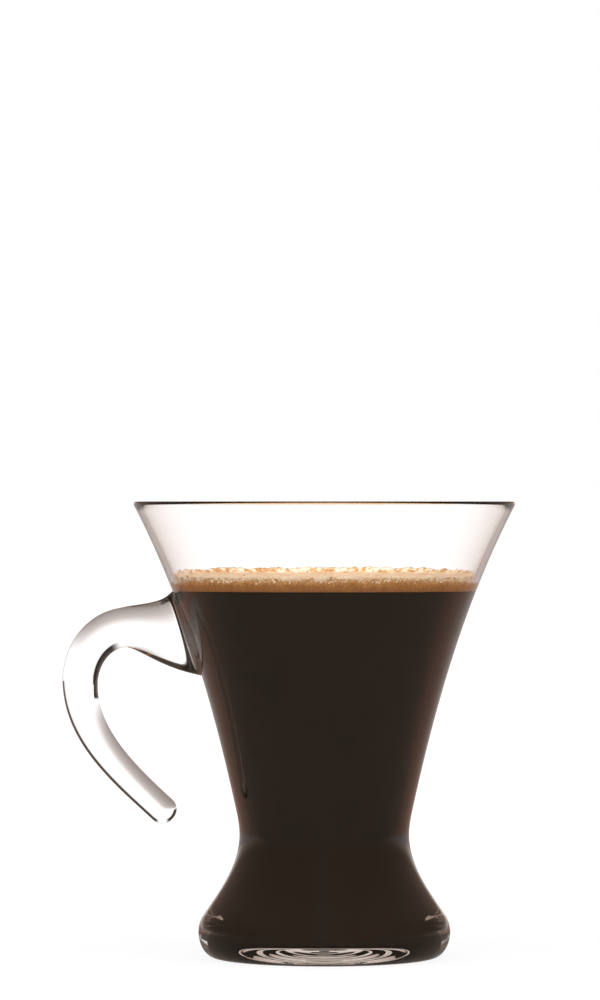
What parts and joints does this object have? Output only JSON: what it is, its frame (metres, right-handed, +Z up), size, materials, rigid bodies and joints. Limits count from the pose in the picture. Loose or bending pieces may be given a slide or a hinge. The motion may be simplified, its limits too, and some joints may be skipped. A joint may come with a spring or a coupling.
{
  "type": "espresso glass",
  "caption": "Clear espresso glass with a wide mouth, a narrow waist, a round foot and a hook handle fused at its top end only, shown full of coffee under crema.",
  "frame": {"origin": "centre of the flat foot, on the surface the glass stands on", "axes": "+Z up along the axis of the vessel, -X towards the handle, +Y away from a viewer who has the handle on the left"},
  "size_m": [0.0819, 0.069, 0.0824],
  "materials": {
    "vessel_glass": "clear pressed glass, fire polished",
    "handle_glass": "clear solid glass, fire polished",
    "coffee": "dark brown liquid, stands in for espresso",
    "crema": "golden tan foam with small bubbles"
  },
  "bodies": {
    "root": {"glass_body": "vessel_glass", "handle": "handle_glass", "coffee": "coffee", "crema": "crema"}
  },
  "joints": []
}
